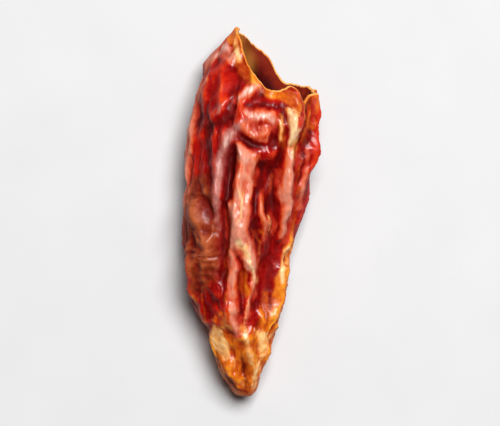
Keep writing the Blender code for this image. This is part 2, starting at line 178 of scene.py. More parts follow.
# Sharp little folds of the top: width, height (minus for a crease), then a line of (across, along)
CREASES = (
    (0.35, -0.22, ((-1.5, 27.9), (0.2, 27.7), (1.5, 28.0))),
    (0.30, 0.20, ((-1.5, 18.0), (-0.4, 15.9), (0.7, 14.9))),
    (0.30, -0.30, ((-0.9, 14.2), (-0.6, 12.6), (-0.8, 10.6))),
    (0.30, 0.22, ((-1.1, 25.8), (-0.9, 24.0), (-1.6, 21.5), (-1.7, 18.0))),
    (0.30, 0.22, ((0.6, 25.6), (0.3, 23.6), (0.0, 21.4), (0.3, 19.0), (0.6, 16.2))),
    (0.30, 0.18, ((-0.7, 21.0), (-0.2, 19.0), (-0.6, 17.0))),
    (0.30, 0.24, ((1.3, 22.4), (1.1, 20.6), (1.8, 18.2), (1.5, 17.0))),
    (0.30, 0.24, ((2.1, 20.2), (2.6, 18.2))),
    (0.30, 0.20, ((3.0, 30.4), (3.1, 28.6), (2.9, 26.8))),
    (0.28, -0.28, ((3.6, 30.4), (3.7, 28.4))),
    (0.35, 0.22, ((4.9, 29.4), (5.0, 26.0), (4.6, 21.0), (4.1, 17.4))),
    (0.30, 0.22, ((3.9, 28.0), (3.8, 25.0), (3.5, 21.5))),
    (0.35, 0.26, ((6.9, 31.4), (6.5, 28.0), (5.9, 24.0), (5.2, 20.0))),
    (0.28, 0.25, ((-0.5, 28.9), (-0.1, 28.1), (0.9, 27.9), (1.7, 28.5), (1.5, 29.3))),
    (0.45, -0.30, ((0.4, 28.8), (0.9, 28.9))),
    (0.30, 0.24, ((-4.2, 29.6), (-3.0, 31.4), (-1.9, 32.4), (-0.8, 32.9))),
    (0.28, 0.18, ((-5.2, 31.0), (-4.4, 33.6), (-3.2, 35.6))),
    (0.30, 0.22, ((-3.8, 37.2), (-2.7, 36.3), (-1.6, 35.4))),
    (0.30, 0.24, ((-6.4, 20.0), (-6.3, 16.0), (-5.6, 12.0))),
    (0.45, -0.30, ((-3.7, 11.2), (-3.3, 9.8))),
    (0.28, 0.26, ((-5.3, 11.6), (-4.9, 9.8), (-4.6, 8.4))),
    (0.28, 0.26, ((-3.8, 6.8), (-2.9, 4.2), (-1.4, 1.2))),
    (0.28, -0.26, ((-2.2, 5.8), (-1.6, 3.8), (-1.2, 2.2))),
    (0.25, -0.35, ((-0.4, 1.6), (-0.4, 0.4))),
)
CREASE_ROUNDING = 0.10
CREASE_TAPER = 0.8
CREASE_END_SHARE = 0.35

# Finer wrinkles, written as the pillows and crumples are, and the ripples across the dull left facet
CRINKLES = (0.95, 2.4, 0.28, 12)
CREPE = (0.42, 0.9, 0.15)
GRAIN = (0.26, 0.34, 0.055)
RIPPLES = (2.6, 0.50, -0.30)
FINE_DRIFT = 0.9
FINE_DRIFT_SIZE = 2.4

# Where the finer wrinkles fade: at the tip, on the neck and where the ripples are
FINE_TIP_FADE = 1.0
FINE_NECK_TAPER = 3.0
FINE_NECK_SHARE = 0.6
RIPPLED_SHARE = 0.5

# The inner side keeps under the lowest outer skin within so many cells round the pod and rows along it,
# so that it never breaks through, and has this share of the finer wrinkles
INNER_NEIGHBOURS = (6, 2)
INNER_SHARE = 0.4

# The rim's tatters, by size and depth, on an oval mouth, and the swell of the lip
TATTERS = ((1.3, 0.32), (0.45, 0.12))
MOUTH_HALF_SIZE = (6.0, 5.0)
LIP_SWELL = 0.10

# A point stands out by its height above the mean of its neighbours, within so many cells and rows
OUTER_NEIGHBOURHOOD = (9, 6)
INNER_NEIGHBOURHOOD = (9, 3)

# The seeds: each edge's cuts and the half size, then the raised edge by place, width and height, the dish by
# width and depth, and the pits by size and depth. The place and the widths are shares of the half size.
SEED_CUTS = 2
SEED_HALF_SIZE = (1.5, 1.25)
SEED_EDGE = (0.82, 0.10, 0.05)
SEED_DISH = (0.55, 0.06)
SEED_PITS = (0.35, 0.05)
SEED_WELD = 0.001

# The picture's scale, the column of the pod's middle and the row of its tip
PIXEL = 0.264
COLUMN_OF_MIDDLE = 267.35
ROW_OF_TIP = 332.0

# Patches of colour on the top, and the glow on the wall inside the mouth, in pixels of the picture:
# strength, width of the edge, then a line of (column, row, half width)
# Orange of thin skin, brightened with painted light shining through it
AMBER_LIT_THROUGH = (
    (1, 4, ((255, 307, 3), (262, 309, 4), (271, 308, 4))),
    (1, 4, ((251.5, 306, 2), (254.5, 316, 2.5), (259, 326, 2.5))),
    (1, 4, ((258, 315, 3), (265, 316, 5), (271, 315, 2))),
    (1, 4, ((262, 323, 5), (267, 323, 3.5))),
    (1.3, 2.4, ((261, 182, 1), (258.8, 186, 1.6))),
    (1.3, 3, ((262.5, 195, 1.4), (267, 199.5, 2.2), (270, 203, 2), (276, 208.5, 1.8),
     (281, 208.5, 1.8), (285, 211, 1.8), (286.5, 215, 1.2))),
    (0.7, 4, ((264, 200, 1.5), (268, 203, 2))),
    (1, 3, ((288.5, 208, 0.8), (291, 213, 1.8), (292, 217, 1.7), (291.5, 221, 1.2))),
    (1, 2.4, ((294, 208, 0.9), (294, 213, 1), (293.2, 219, 0.9))),
    (0.8, 3, ((290, 222, 1), (289, 228, 0.8))),
    (1.3, 3, ((284, 268, 1.2), (282.5, 277, 2), (280, 285, 2.2), (278.8, 293, 2.4), (277, 301, 2.6),
     (274, 304, 1.6))),
    (0.9, 3, ((264.5, 281, 1), (264.5, 286, 2), (265.5, 289, 1))),
    (0.9, 2, ((261, 254.5, 0.6), (266, 254.5, 0.8), (267, 250, 0.8))),
    (0.7, 3, ((276, 241, 1), (275.5, 247, 1))),
    (0.9, 3, ((279.5, 218, 0.8), (279.5, 223, 1.2), (281, 229, 1))),
    (0.8, 4, ((252.5, 300, 1), (255.5, 298, 1.8), (257, 301, 1.6))),
    (1.1, 3, ((251.5, 303.5, 1), (256, 303.5, 1.3), (261, 303, 1.3))),
    (0.8, 2, ((247.5, 287, 0.3), (248.5, 294, 0.4), (249.5, 302, 0.5))),
    (0.6, 3, ((244, 291, 1), (248, 300, 1.5), (251, 306, 1))),
    (0.8, 2, ((287.5, 231, 0.6), (287, 240, 0.8), (286, 250, 0.9), (284.5, 260, 1.2), (284.3, 268, 1.2))),
    (1, 3, ((274, 289, 1), (273, 296, 2), (272.5, 302, 1.6))),
    (0.7, 2, ((257.5, 268, 0.4), (258, 280, 0.5), (258, 292, 0.5))),
    (0.8, 2, ((272, 258, 0.6), (275, 265, 0.6), (271, 263, 0.8))),
    (0.7, 2, ((268, 262, 0.6), (271, 268, 1), (271, 273, 1))),
)
# Cream-yellow painted highlights, partly over the pale yellow of thin skin
CREAM_HIGHLIGHTS = (
    (0.6, 2, ((259, 190.5, 0.6), (260.8, 193, 1))),
    (0.6, 2, ((264, 208.7, 0.6), (267, 206.5, 0.6))),
    (1.5, 2.6, ((252.3, 304, 1.1), (254.3, 306, 2.4), (255.5, 310, 2.4), (257.5, 315, 1.2))),
    (0.9, 2.4, ((264, 303, 1.5), (266, 307, 0.9), (266.7, 311, 0.8), (268, 317, 0.7), (269.3, 321, 0.9))),
    (1.2, 2.6, ((271, 304.5, 0.9), (273, 306.5, 2), (272.7, 309.5, 1.8), (271.7, 314, 1))),
    (0.9, 2, ((276, 306, 0.6), (273.5, 313, 0.6), (271, 318, 0.8), (269.5, 322, 1), (268.8, 328, 0.8))),
    (0.7, 2, ((260, 316, 0.5), (261, 319, 0.5))),
    (0.7, 2, ((264, 325, 0.4), (265.5, 329, 0.5))),
    (0.6, 2, ((257, 321, 0.4), (259, 325, 0.5))),
    (0.9, 3, ((283, 214.5, 1.1), (284.8, 217.5, 2.4), (285, 222, 2.4), (285, 228, 1.8), (284.5, 233, 1))),
    (1.2, 2, ((261.6, 182, 0.5), (262, 188, 1), (262.5, 195, 1.2))),
    (0.4, 2.4, ((268.5, 204, 0.6), (272, 206, 0.8))),
    (0.7, 2, ((280, 217, 0.7), (279.5, 222, 0.8), (279.5, 227, 0.6))),
    (0.8, 2.4, ((263, 268, 1), (266, 272, 1.3), (268, 278, 1), (269.7, 284, 0.7))),
    (1, 2.2, ((283, 271, 0.7), (281.7, 277, 1.1), (280.2, 284, 1))),
    (0.5, 2, ((277, 295, 0.6), (276.5, 300, 0.8))),
    (0.7, 2, ((265, 301, 0.3), (265.5, 297, 0.5), (266.5, 293, 0.5))),
    (0.7, 2, ((263, 245, 0.4), (264, 250, 0.8), (264, 258, 0.8), (262.5, 261, 0.6))),
    (0.7, 2, ((274, 257, 0.4), (276, 263, 0.6))),
    (0.6, 2, ((295, 208, 0.3), (294.6, 214, 0.5))),
)
# Salmon-pink painted highlights on ridges and facets
SALMON_HIGHLIGHTS = (
    (1.3, 2.2, ((249.3, 196, 0.8), (252.5, 191.5, 1.8), (255.5, 188.5, 2), (258.5, 191, 2.2),
     (260.5, 194, 1.2))),
    (1, 2.4, ((261.5, 211, 0.8), (264.5, 208.5, 1.6), (268, 205.5, 1.4))),
    (0.9, 1.6, ((250, 194.5, 0.4), (248.6, 203, 0.4), (245.6, 210.5, 0.4), (244.2, 222, 0.5),
     (243.3, 235, 0.5), (242.5, 247, 0.4))),
    (0.6, 1.6, ((261, 182, 0.3), (255, 187, 0.4), (250, 194, 0.4))),
    (1, 2.6, ((266, 215, 1.4), (268, 217, 2), (268.5, 220, 1.8))),
    (1.1, 2.4, ((270.5, 215.5, 1.2), (275, 217.5, 2), (277, 220, 1.4))),
    (0.7, 3, ((265.5, 221.5, 1.6), (269, 224.5, 2), (274, 222.5, 1.8))),
    (0.9, 1.3, ((267.5, 226, 0.3), (268, 222.6, 0.4), (271.5, 221.9, 0.5), (274.5, 224.5, 0.5),
     (274, 227.5, 0.5), (268.5, 227.3, 0.4))),
    (1.1, 2.4, ((262.5, 229, 1), (264.7, 232.5, 2.6), (266.4, 235.5, 3.5), (266.5, 240, 3.5),
     (265, 246, 3), (264.3, 252, 3.2))),
    (1.1, 2.4, ((264.3, 252, 3.2), (262.6, 258, 3.5), (262, 264, 3.1), (264.5, 268, 3.5),
     (267, 273, 3.1), (268.7, 279, 2))),
    (0.9, 1.8, ((268.7, 279, 1.6), (269.4, 284, 1.1), (268.5, 289, 0.9), (266.7, 293, 0.9),
     (265.5, 300, 1))),
    (0.9, 2.2, ((258.8, 252, 1), (259, 262, 1.1), (260.2, 272, 1.6), (261.3, 279, 2.2),
     (259.8, 284, 1.4))),
    (1, 2.2, ((259.8, 284, 1.3), (260, 292, 1.3), (261, 298, 1.8), (263, 304, 2.4), (266.5, 304, 1.4))),
    (0.8, 1.6, ((271, 233, 0.3), (269.5, 239, 0.4), (269.3, 245, 0.5))),
    (0.7, 1.8, ((272.3, 247, 0.4), (271.5, 251, 0.5), (272, 256, 0.7), (274, 262, 0.7), (273, 267, 0.5))),
    (0.8, 1.6, ((275.3, 256, 0.4), (277, 262, 0.7), (277, 265, 0.4))),
    (0.9, 2.4, ((283.5, 231, 1.8), (284, 238, 2), (283, 244, 2.6), (283, 250, 2.8), (283, 256, 2.6))),
    (0.9, 2.4, ((283, 256, 2.6), (281.5, 262, 2), (281.3, 268, 1.2))),
    (0.8, 2, ((278.5, 239, 0.6), (279, 245, 1.2), (280.5, 252, 1.1))),
    (0.8, 2, ((286.5, 229, 0.8), (286, 236, 0.9))),
    (0.8, 1.8, ((291, 230, 0.6), (290.2, 237, 0.9), (288.8, 246, 0.9), (287.3, 254, 0.7))),
    (0.8, 1.8, ((294.4, 207, 0.6), (293.8, 213, 0.8), (293.2, 220, 0.6))),
    (0.7, 2, ((283, 205, 0.5), (286, 206, 0.6), (288.5, 210, 0.4))),
    (0.6, 2, ((254, 299, 0.6), (256.5, 299, 0.6))),
    (0.5, 2, ((256, 204.5, 0.5), (255, 206, 0.6))),
    (0.6, 2, ((291.5, 213, 0.5), (290, 216, 0.4))),
)
# Pinkish-white painted highlights
BLUSH_HIGHLIGHTS = (
    (1.1, 3.4, ((250.2, 193.7, 0.7), (253, 191, 1.4), (255.8, 188.5, 1.4), (258.5, 190.5, 1))),
    (0.9, 2, ((262.5, 209.7, 0.7), (265, 207.7, 1.4), (268, 205.7, 0.9))),
    (0.8, 2.6, ((266, 215.5, 1.5), (269, 217.5, 1.5), (274, 217, 1.5), (276.5, 219.5, 0.8))),
    (0.6, 1.8, ((258, 226, 1.2), (257.2, 229, 1))),
    (0.7, 2.4, ((253.8, 305.5, 1.4), (255.3, 310, 1.4), (256.8, 313.5, 0.8))),
    (0.5, 2.4, ((264.5, 233, 1.4), (266, 235.5, 2))),
    (0.5, 2, ((286.5, 218, 0.4), (286, 228, 0.6))),
)
# A grey-pink painted sheen
ROSE_SHEEN = (
    (0.9, 2.6, ((266, 219, 1.4), (262.5, 221.7, 2.2), (258.8, 225.5, 2.4), (256.6, 231, 2.6),
     (255.2, 240, 2.4))),
    (0.8, 2.6, ((255.2, 240, 2.3), (253.8, 250, 2.1), (253.5, 257, 1.8), (255, 263, 1))),
    (0.6, 2.4, ((256.3, 267, 0.8), (255.8, 274, 1.1), (253, 282, 1.1))),
    (0.9, 2.2, ((253, 216.5, 0.8), (255, 213, 1))),
    (0.9, 2.2, ((258.8, 217, 1), (259.5, 212.5, 1.2))),
    (0.6, 2.2, ((250, 213, 0.6), (249, 217, 0.6))),
    (0.6, 2.2, ((249.5, 226, 0.5), (250.5, 232, 0.6))),
    (0.9, 2.2, ((264, 230.5, 0.6), (269.5, 232.5, 1), (269, 236, 1))),
    (0.6, 2.4, ((261, 292, 0.8), (261.5, 299, 1))),
    (0.8, 2.4, ((266, 216, 0.6), (265, 220, 1))),
    (0.4, 4, ((244, 249, 1.5), (247, 256, 2.5), (250, 262, 2))),
    (0.5, 2, ((245, 273, 0.6), (248, 274, 0.8))),
    (0.5, 2, ((246, 281, 0.6), (250, 281, 0.6))),
)
BROWN = (
    (1.4, 7, ((248, 243, 1.5), (246.5, 250, 4.5), (247.5, 259, 6), (247.5, 269, 6.5), (248, 279, 5.5),
     (247, 285, 3))),
    (0.5, 4, ((244, 289, 1), (247, 298, 1))),
)
SCARLET = (
    (1.2, 4, ((253, 196, 2.5), (257, 203, 4.5), (256, 208, 3))),
    (1, 4, ((246.5, 226, 2), (246, 238, 2))),
    (0.4, 4, ((289, 230, 0.8), (288, 240, 0.8))),
    (1.2, 3, ((254, 294, 1.2), (255.5, 297, 2), (254.5, 301, 2))),
    (0.9, 2.4, ((265, 211, 0.8), (272, 210.5, 1.2), (281, 211, 1.2))),
)
# Painted shade in grooves, under the rim and round folds
SHADE_PATCHES = (
    (0.6, 2.2, ((262.5, 224.5, 0.6), (260.7, 229, 0.8), (260, 236, 1), (258.5, 244, 1.2),
     (257.6, 252, 1), (257.2, 262, 1.2), (257.5, 267, 0.8))),
    (0.6, 2, ((263, 223.5, 0.4), (265, 227.5, 0.6), (270, 229.5, 0.9), (278, 228.2, 0.7))),
    (0.3, 1.6, ((271, 220.7, 0.3), (276, 221.5, 0.4), (276.5, 227, 0.4))),
    (0.8, 2.6, ((249, 221, 1.5), (253, 220.5, 1.6), (258.5, 219, 1))),
    (0.5, 3, ((249, 227, 1.5), (248, 236, 1.5), (246, 241, 1))),
    (0.5, 1.8, ((277.8, 215, 0.4), (277.5, 226, 0.5))),
    (0.7, 3, ((272.5, 236, 1.2), (271.5, 242, 1.6), (271, 248, 1.4))),
    (0.3, 3, ((276, 250, 1.6), (277, 256, 1.6), (276.5, 260, 1.2))),
    (0.7, 1.8, ((269.5, 254.5, 0.6), (267.5, 259, 1), (267, 263, 0.8))),
    (0.35, 4, ((276, 268, 2.2), (275, 276, 2.4), (274, 284, 2), (272, 293, 1.2))),
    (0.7, 2, ((268, 303, 0.5), (270.5, 301, 0.8))),
    (0.7, 3, ((251.5, 288, 1.5), (254, 292, 2), (255.5, 291, 1.5))),
    (0.8, 1.8, ((263, 290, 0.6), (263.5, 297, 0.7))),
    (0.9, 2, ((264.5, 312.5, 0.6), (265, 319, 1), (266, 325, 0.8))),
    (0.8, 1.8, ((269.5, 304, 0.4), (268.6, 311, 0.5), (269.4, 316, 0.3))),
    (0.4, 2.4, ((262.5, 308, 0.5), (261, 311, 0.6))),
    (1, 2.4, ((253.5, 312, 0.4), (256.8, 321, 0.8), (261, 327.5, 1.1), (266, 330.5, 1))),
    (0.6, 2, ((262.3, 317, 0.4), (262.5, 324, 0.5))),
    (0.8, 2.6, ((291.5, 222, 1), (290.5, 226, 1.2), (289, 229, 0.6))),
)
INNER_GLOW = (
    (1, 9, ((262.5, 184, 0.6), (264.5, 190, 1), (266.5, 195, 0.6))),
)

# Patches of the top where the fine wrinkles are calmer
CALM = (
    (0.8, 6, ((254, 190, 2), (257, 199, 4), (255, 206, 4))),
    (0.6, 6, ((248, 220, 2), (247, 235, 2))),
    (1, 3, ((265, 211, 1), (272, 210.5, 1.5), (281, 211, 1.5))),
    (1, 3, ((264.5, 227.5, 1), (271, 229.8, 1.4), (278, 228.5, 1.2))),
    (0.6, 5, ((273, 240, 2), (274, 252, 2), (275, 275, 3), (273, 290, 2))),
)

PAINTED = {
    "amber": AMBER_LIT_THROUGH, "cream_highlight": CREAM_HIGHLIGHTS, "pale": SALMON_HIGHLIGHTS, "blush_highlight": BLUSH_HIGHLIGHTS, "rose_sheen": ROSE_SHEEN, "brown": BROWN,
    "scarlet": SCARLET, "dark": SHADE_PATCHES, "glow": INNER_GLOW,
}
PATCH_DRIFT = 0.35
PATCH_DRIFT_SIZE = 1.1

# Between these heights on the sides, as sines of the angle round the pod, the patches fade in
UNDER = (-0.45, -0.05)

# The amber tip, orange thin skin with painted light shining through it: strength, and where its wavy edge
# lies
TIP_AMBER = 0.9
TIP_AMBER_END = 8.0
TIP_AMBER_FADE = 1.8
TIP_EDGE_DRIFT = 2.4
TIP_EDGE_SIZE = 2.6

# The skin is steep where its normal rises less than the first, and level where it rises more than the second
STEEP = (0.45, 0.92)

# The painted highlight along the left edge, a pale line: between which heights, as sines, and where it
# starts along the pod
EDGE_HIGHLIGHT = (-0.15, 0.42)
EDGE_LINE_FADE = 0.15
EDGE_LINE_START = 16.0
EDGE_LINE_TAPER = 6.0

# The deep red under everything, darker in the hollows as painted shade and lighter on the ridges as painted
# highlight: the heights that it spans, how uneven it is, and its colours by place
RED_HEIGHTS = (-0.45, 0.45)
RED_UNEVENNESS = (("mottle", 0.7), ("streaks", 0.7), ("fine", 0.5))
RED = (
    (0.0, (0.08, 0.0004, 0.0004)),
    (0.35, (0.19, 0.0006, 0.0005)),
    (0.62, (0.33, 0.002, 0.001)),
    (0.98, (0.56, 0.026, 0.005)),
)

# The other tones: how uneven each is, then its colours in the hollows, between and on the ridges, darker in
# the hollows as painted shade and lighter on the ridges as painted highlight
TONE_HEIGHTS = (-0.32, 0.38)
TONE_PLACES = (0.1, 0.5, 0.95)
TONES = {
    "salmon_highlight": (0.7, (0.42, 0.026, 0.011), (0.58, 0.11, 0.052), (0.69, 0.235, 0.15)),
    "blush_highlight": (0.6, (0.6, 0.19, 0.145), (0.78, 0.38, 0.3), (0.9, 0.58, 0.48)),
    "ember": (0.6, (0.3, 0.006, 0.002), (0.52, 0.035, 0.006), (0.68, 0.1, 0.016)),
    "amber": (0.8, (0.36, 0.03, 0.0025), (0.62, 0.125, 0.005), (0.82, 0.29, 0.02)),
    "scarlet": (0.6, (0.3, 0.002, 0.001), (0.48, 0.009, 0.002), (0.68, 0.045, 0.008)),
    "cream_highlight": (0.8, (0.64, 0.17, 0.025), (0.88, 0.45, 0.15), (0.94, 0.64, 0.33)),
    "rose_sheen": (0.6, (0.18, 0.012, 0.01), (0.3, 0.07, 0.058), (0.44, 0.19, 0.16)),
    "brown": (0.8, (0.14, 0.005, 0.0016), (0.25, 0.03, 0.007), (0.39, 0.085, 0.027)),
    "dark": (0.4, (0.05, 0.001, 0.001), (0.12, 0.0015, 0.0012), (0.24, 0.006, 0.002)),
    "rim": (0.8, (0.32, 0.024, 0.002), (0.52, 0.085, 0.004), (0.68, 0.16, 0.01)),
}

# What lies over the red, in this order: the value that it follows, its tone, the noise that breaks up its
# edge, how strongly, and the values where it starts and is full. Pale, blush and edge are painted
# highlights, pale with an ember fringe, cream is painted highlight over pale yellow thin skin, rose is a
# painted sheen, dark is painted shade, and amber is orange thin skin with painted light shining through it
LAYERS = (
    ("brown", "brown", "mottle", 1.2, 0.1, 0.9),
    ("scarlet", "scarlet", "mottle", 1.0, 0.1, 0.9),
    ("rose_sheen", "rose_sheen", "streaks", 1.2, 0.2, 1.1),
    ("amber", "amber", "mottle", 0.9, 0.2, 0.9),
    ("pale", "ember", "streaks", 0.8, 0.0, 0.5),
    ("pale", "salmon_highlight", "streaks", 1.3, 0.2, 1.0),
    ("blush_highlight", "blush_highlight", "streaks", 1.1, 0.2, 1.0),
    ("cream_highlight", "cream_highlight", "streaks", 1.1, 0.2, 1.0),
    ("dark", "dark", "fine", 0.8, 0.2, 1.1),
    ("edge", "salmon_highlight", "streaks", 0.7, 0.2, 1.0),
    ("from_rim", "rim", "mottle", 2.4, 0.9, -0.2),
)

# The wall inside, darker deeper behind the rim as painted shade: how deep behind the rim its colours change,
# their unevenness, how far inside they start and are full, the colours by place, and the painted glow of
# light through the skin
WALL_DEPTH = 5.0
WALL_UNEVENNESS = 0.6
WALL_START = (0.6, 1.0)
WALL = ((0.05, (0.022, 0.0006, 0.0005)), (0.5, (0.075, 0.0018, 0.001)), (0.95, (0.17, 0.011, 0.003)))
GLOW = (0.42, 0.17, 0.025)

# The torn lip: its two colours, where the mottling turns from one to the other, its width and unevenness
LIP = ((0.7, 0.2, 0.02), (0.9, 0.46, 0.12))
LIP_MOTTLING = (0.4, 0.6)
LIP_WIDTH = 0.14
LIP_UNEVENNESS = 0.4

# Two values of the fine noise and the roughness at each, the heights where the skin turns hollow, and the
# roughness that each of these adds
ROUGHNESS = (0.3, 0.7, 0.24, 0.4)
HOLLOW = (0.05, -0.22)
DULLER = {"inside": 0.35, "steep": 0.22, "hollow": 0.2, "brown": 0.15, "dark": 0.15, "rose_sheen": 0.12}

# The glossy coat's weight is the product of these: two values of what it follows, and its share at each
COAT = (
    ("inside", 0.0, 0.9, 0.6, 0.0),
    ("steep", 0.0, 1.0, 1.0, 0.3),
    ("standing", -0.22, 0.05, 0.1, 1.0),
    ("from_rim", 0.0, 2.5, 0.3, 1.0),
    ("dark", 0.1, 0.9, 1.0, 0.25),
    ("brown", 0.1, 0.9, 1.0, 0.5),
    ("rose_sheen", 0.1, 0.9, 1.0, 0.4),
    ("scarlet", 0.1, 0.9, 1.0, 0.55),
)

# Colours of the seeds and the floor, each with its place on the noise
SEED_COLOURS = ((0.25, (0.42, 0.2, 0.06)), (0.5, (0.66, 0.4, 0.15)), (0.8, (0.82, 0.6, 0.3)))
FLOOR_COLOURS = ((0.3, (0.62, 0.62, 0.625)), (0.7, (0.64, 0.64, 0.645)))

# A mix node's inputs and output for colours, which share their names with those for numbers
MIX_COLOURS = (6, 7)
MIX_RESULT = 2

# The studio, in metres and watts: the floor's reach, the soft lamp, the room's dim light and the view
FLOOR_REACH = 1.5
KEY_PLACE = (0.1, 0.18, 0.53)
KEY_TARGET = (0.0, 0.0, 0.005)
KEY_SIZE = 0.26
KEY_POWER = 4.9
ROOM_LIGHT = 0.05
VIEW_WIDTH = 0.055
NEAREST_SEEN = 0.01

# The camera's focal length, in millimetres
LENS = 200


def ramp(value):
    """0 below 0, 1 above 1 and a smooth rise between them."""
    value = np.clip(value, 0.0, 1.0)
    return value * value * (3.0 - 2.0 * value)


def interpolated(table, where):
    """The table's other columns where its first one is `where`, on a smooth curve through the rows."""
    rows = np.array(table, float)
    i = np.clip(np.searchsorted(rows[:, 0], where, side="right") - 1, 0, len(rows) - 2)
    before, here = rows[np.maximum(i - 1, 0)], rows[i]
    after, beyond = rows[i + 1], rows[np.minimum(i + 2, len(rows) - 1)]
    step = (after - here)[..., :1]
    t = (where[..., None] - here[..., :1]) / step
    slope_here = step * (after - before)[..., 1:] / (after - before)[..., :1]
    slope_after = step * (beyond - here)[..., 1:] / (beyond - here)[..., :1]
    values = (2 * t**3 - 3 * t**2 + 1) * here[..., 1:] + (3 * t**2 - 2 * t**3) * after[..., 1:]
    values += (t**3 - 2 * t**2 + t) * slope_here + (t**3 - t**2) * slope_after
    return np.moveaxis(values, -1, 0)


def rim_at(angle):
    """How far from the tip the torn rim is, at these angles in radians."""
    last_turn = [(degrees - 360, along) for degrees, along in RIM[-1:]]
    next_turn = [(degrees + 360, along) for degrees, along in RIM[:2]]
    return interpolated((*last_turn, *RIM, *next_turn), np.degrees(angle) % 360)[0]


def nearest_on(start, end, across, along):
    """How far along a line's piece the nearest point to each place is, from 0 to 1, and how far away."""
    dx, dy = end[0] - start[0], end[1] - start[1]
    share = ((across - start[0]) * dx + (along - start[1]) * dy) / (dx * dx + dy * dy)
    share = np.clip(share, 0.0, 1.0)
    return share, np.hypot(across - start[0] - share * dx, along - start[1] - share * dy)


def nearest_on_line(line, across, along):
    """How far each place is from a line, and how far its nearest point is from the line's ends."""
    nearest, passed = np.full_like(across, np.inf), np.zeros_like(across)
    length = 0.0
    for start, end in zip(line, line[1:]):
        share, away = nearest_on(start, end, across, along)
        passed = np.where(away < nearest, length + share * math.dist(start, end), passed)
        nearest = np.minimum(nearest, away)
        length += math.dist(start, end)
    return nearest, np.minimum(passed, length - passed)


def fold_height(folds, across, along):
    """The sum of the rounded folds' heights at places of the plan."""
    total = np.zeros_like(across)
    for half_width, height, line in folds:
        away, from_end = nearest_on_line(line, across, along)
        end_share = FOLD_END_SHARE + (1.0 - FOLD_END_SHARE) * ramp(from_end / FOLD_TAPER)
        total += height * np.exp(-((away / half_width) ** 2)) * end_share
    return total


def facet_height(facets, across, along):
    """The height of the flat-topped folds at places of the plan, the highest where they meet."""
    highest = np.zeros_like(across)
    for height, edge, line in facets:
        outside = np.full_like(across, np.inf)
        for start, end in zip(line, line[1:]):
            share, away = nearest_on(start[:2], end[:2], across, along)
            outside = np.minimum(outside, away - start[2] - share * (end[2] - start[2]))
        highest = np.maximum(highest, height * np.clip(0.5 - outside / edge, 0.0, 1.0))
    return highest


def noise_at(places):
    """Smooth noise at each place."""
    flat = places.reshape(-1, 3).tolist()
    return np.array([noise.noise(place) for place in flat]).reshape(places.shape[:-1])


def drifted(places, size, amount):
    """The places pushed about, so that a pattern made at them meanders."""
    pushes = [noise_at(places / size + np.array(shift)) for shift in DRIFT_SHIFTS]
    return places + np.stack(pushes, axis=-1) * amount


def pillow_height(pillows, places):
    """Soft pillows between creases, or hollows between ridges where the height is minus."""
    width, length, height = pillows
    return height * (np.abs(noise_at(places / np.array((width, length, width)))) - PILLOW_MEAN)


def crumple_height(crumples, places):
    """Bowls between angular ridges: each bowl lies round one of the seeded random centres."""
    spacing, stretch, height, seed = crumples
    size = np.array((spacing, spacing * stretch, spacing))
    low, high = (np.array(CRUMPLE_SPACE) / size[:, None]).T
    centres = np.random.default_rng(seed).uniform(low, high, (int(np.prod(high - low)), 3))
    bowls = []
    for row in places / size:
        apart = np.sum(row**2, axis=-1)[:, None] + np.sum(centres**2, axis=-1) - 2.0 * row @ centres.T
        bowls.append(np.min(apart, axis=1))
    return height * (np.minimum(np.array(bowls) / CRUMPLE_REACH, CRUMPLE_TOP) - CRUMPLE_MEAN)


def section(along):
    """Centre, middle height, half width and half height of the pod's plain section."""
    left, right, under, top = interpolated(SECTIONS, along)
    return (left + right) / 2, (under + top) / 2, (right - left) / 2, (top - under) / 2


def foot_share(across, along):
    """1 in the middle of the flat spot and 0 outside it."""
    reach = np.hypot((across - FOOT[0]) / FOOT_HALF_SIZE[0], (along - FOOT[1]) / FOOT_HALF_SIZE[1])
    return 1.0 - ramp((reach - FOOT_FADE_START) / (1.0 - FOOT_FADE_START))


def faded(share, where):
    """1 where `where` is 0, falling to the share where it is 1 or more."""
    return 1.0 - (1.0 - share) * ramp(where)


def relief(angle, along):
    """How far the folds and wrinkles lift the outer side from its plain section."""
    centre, middle, half_width, half_height = section(along)
    sine = np.sin(angle)
    x, z = centre + half_width * np.cos(angle), middle + half_height * sine
    places = np.stack((x, along, z), axis=-1)
    moved = drifted(places, FACET_DRIFT_SIZE, FACET_DRIFT)
    top = fold_height(TOP_FOLDS, x, along) + facet_height(FACETS, moved[..., 0], moved[..., 1])
    folds = np.where(sine > 0, top, fold_height(BOTTOM_FOLDS, x, along))
    from_edge = np.abs(sine) / EDGE_FADE
    share = ramp(along / TIP_FADE) * faded(EDGE_SHARE, 1.0 - from_edge)
    share *= faded(NECK_SHARE, (along - NECK_START) / (POD_LENGTH - NECK_START))
    share *= faded(HOLLOW_SHARE, -folds / HOLLOW_DEPTH)
    share *= np.where(sine > 0, faded(TOP_SHARE, sine / TOP_FADE), 1.0 - foot_share(x, along))
    moved = drifted(places, DRIFT_SIZE, WRINKLE_DRIFT)
    wrinkles = pillow_height(PILLOWS, moved) + crumple_height(CRUMPLES, moved)
    return ramp(from_edge) * folds + share * wrinkles


def in_pixels(patches):
    """Patches that are measured in the picture's pixels, with their lines in millimetres."""
    origin = (COLUMN_OF_MIDDLE, ROW_OF_TIP, 0.0)
    scale = (PIXEL, -PIXEL, PIXEL)
    return [
        (strength, edge * PIXEL, ((np.array(line) - origin) * scale).tolist())
        for strength, edge, line in patches
    ]


def crease_height(across, along):
    """The sum of the sharp little folds' heights at places of the plan."""
    total = np.zeros_like(across)
    for width, height, line in CREASES:
        away, from_end = nearest_on_line(line, across, along)
        profile = np.exp(-(np.hypot(away, CREASE_ROUNDING) - CREASE_ROUNDING) / width)
        end_share = CREASE_END_SHARE + (1.0 - CREASE_END_SHARE) * ramp(from_end / CREASE_TAPER)
        total += height * profile * end_share
    return total


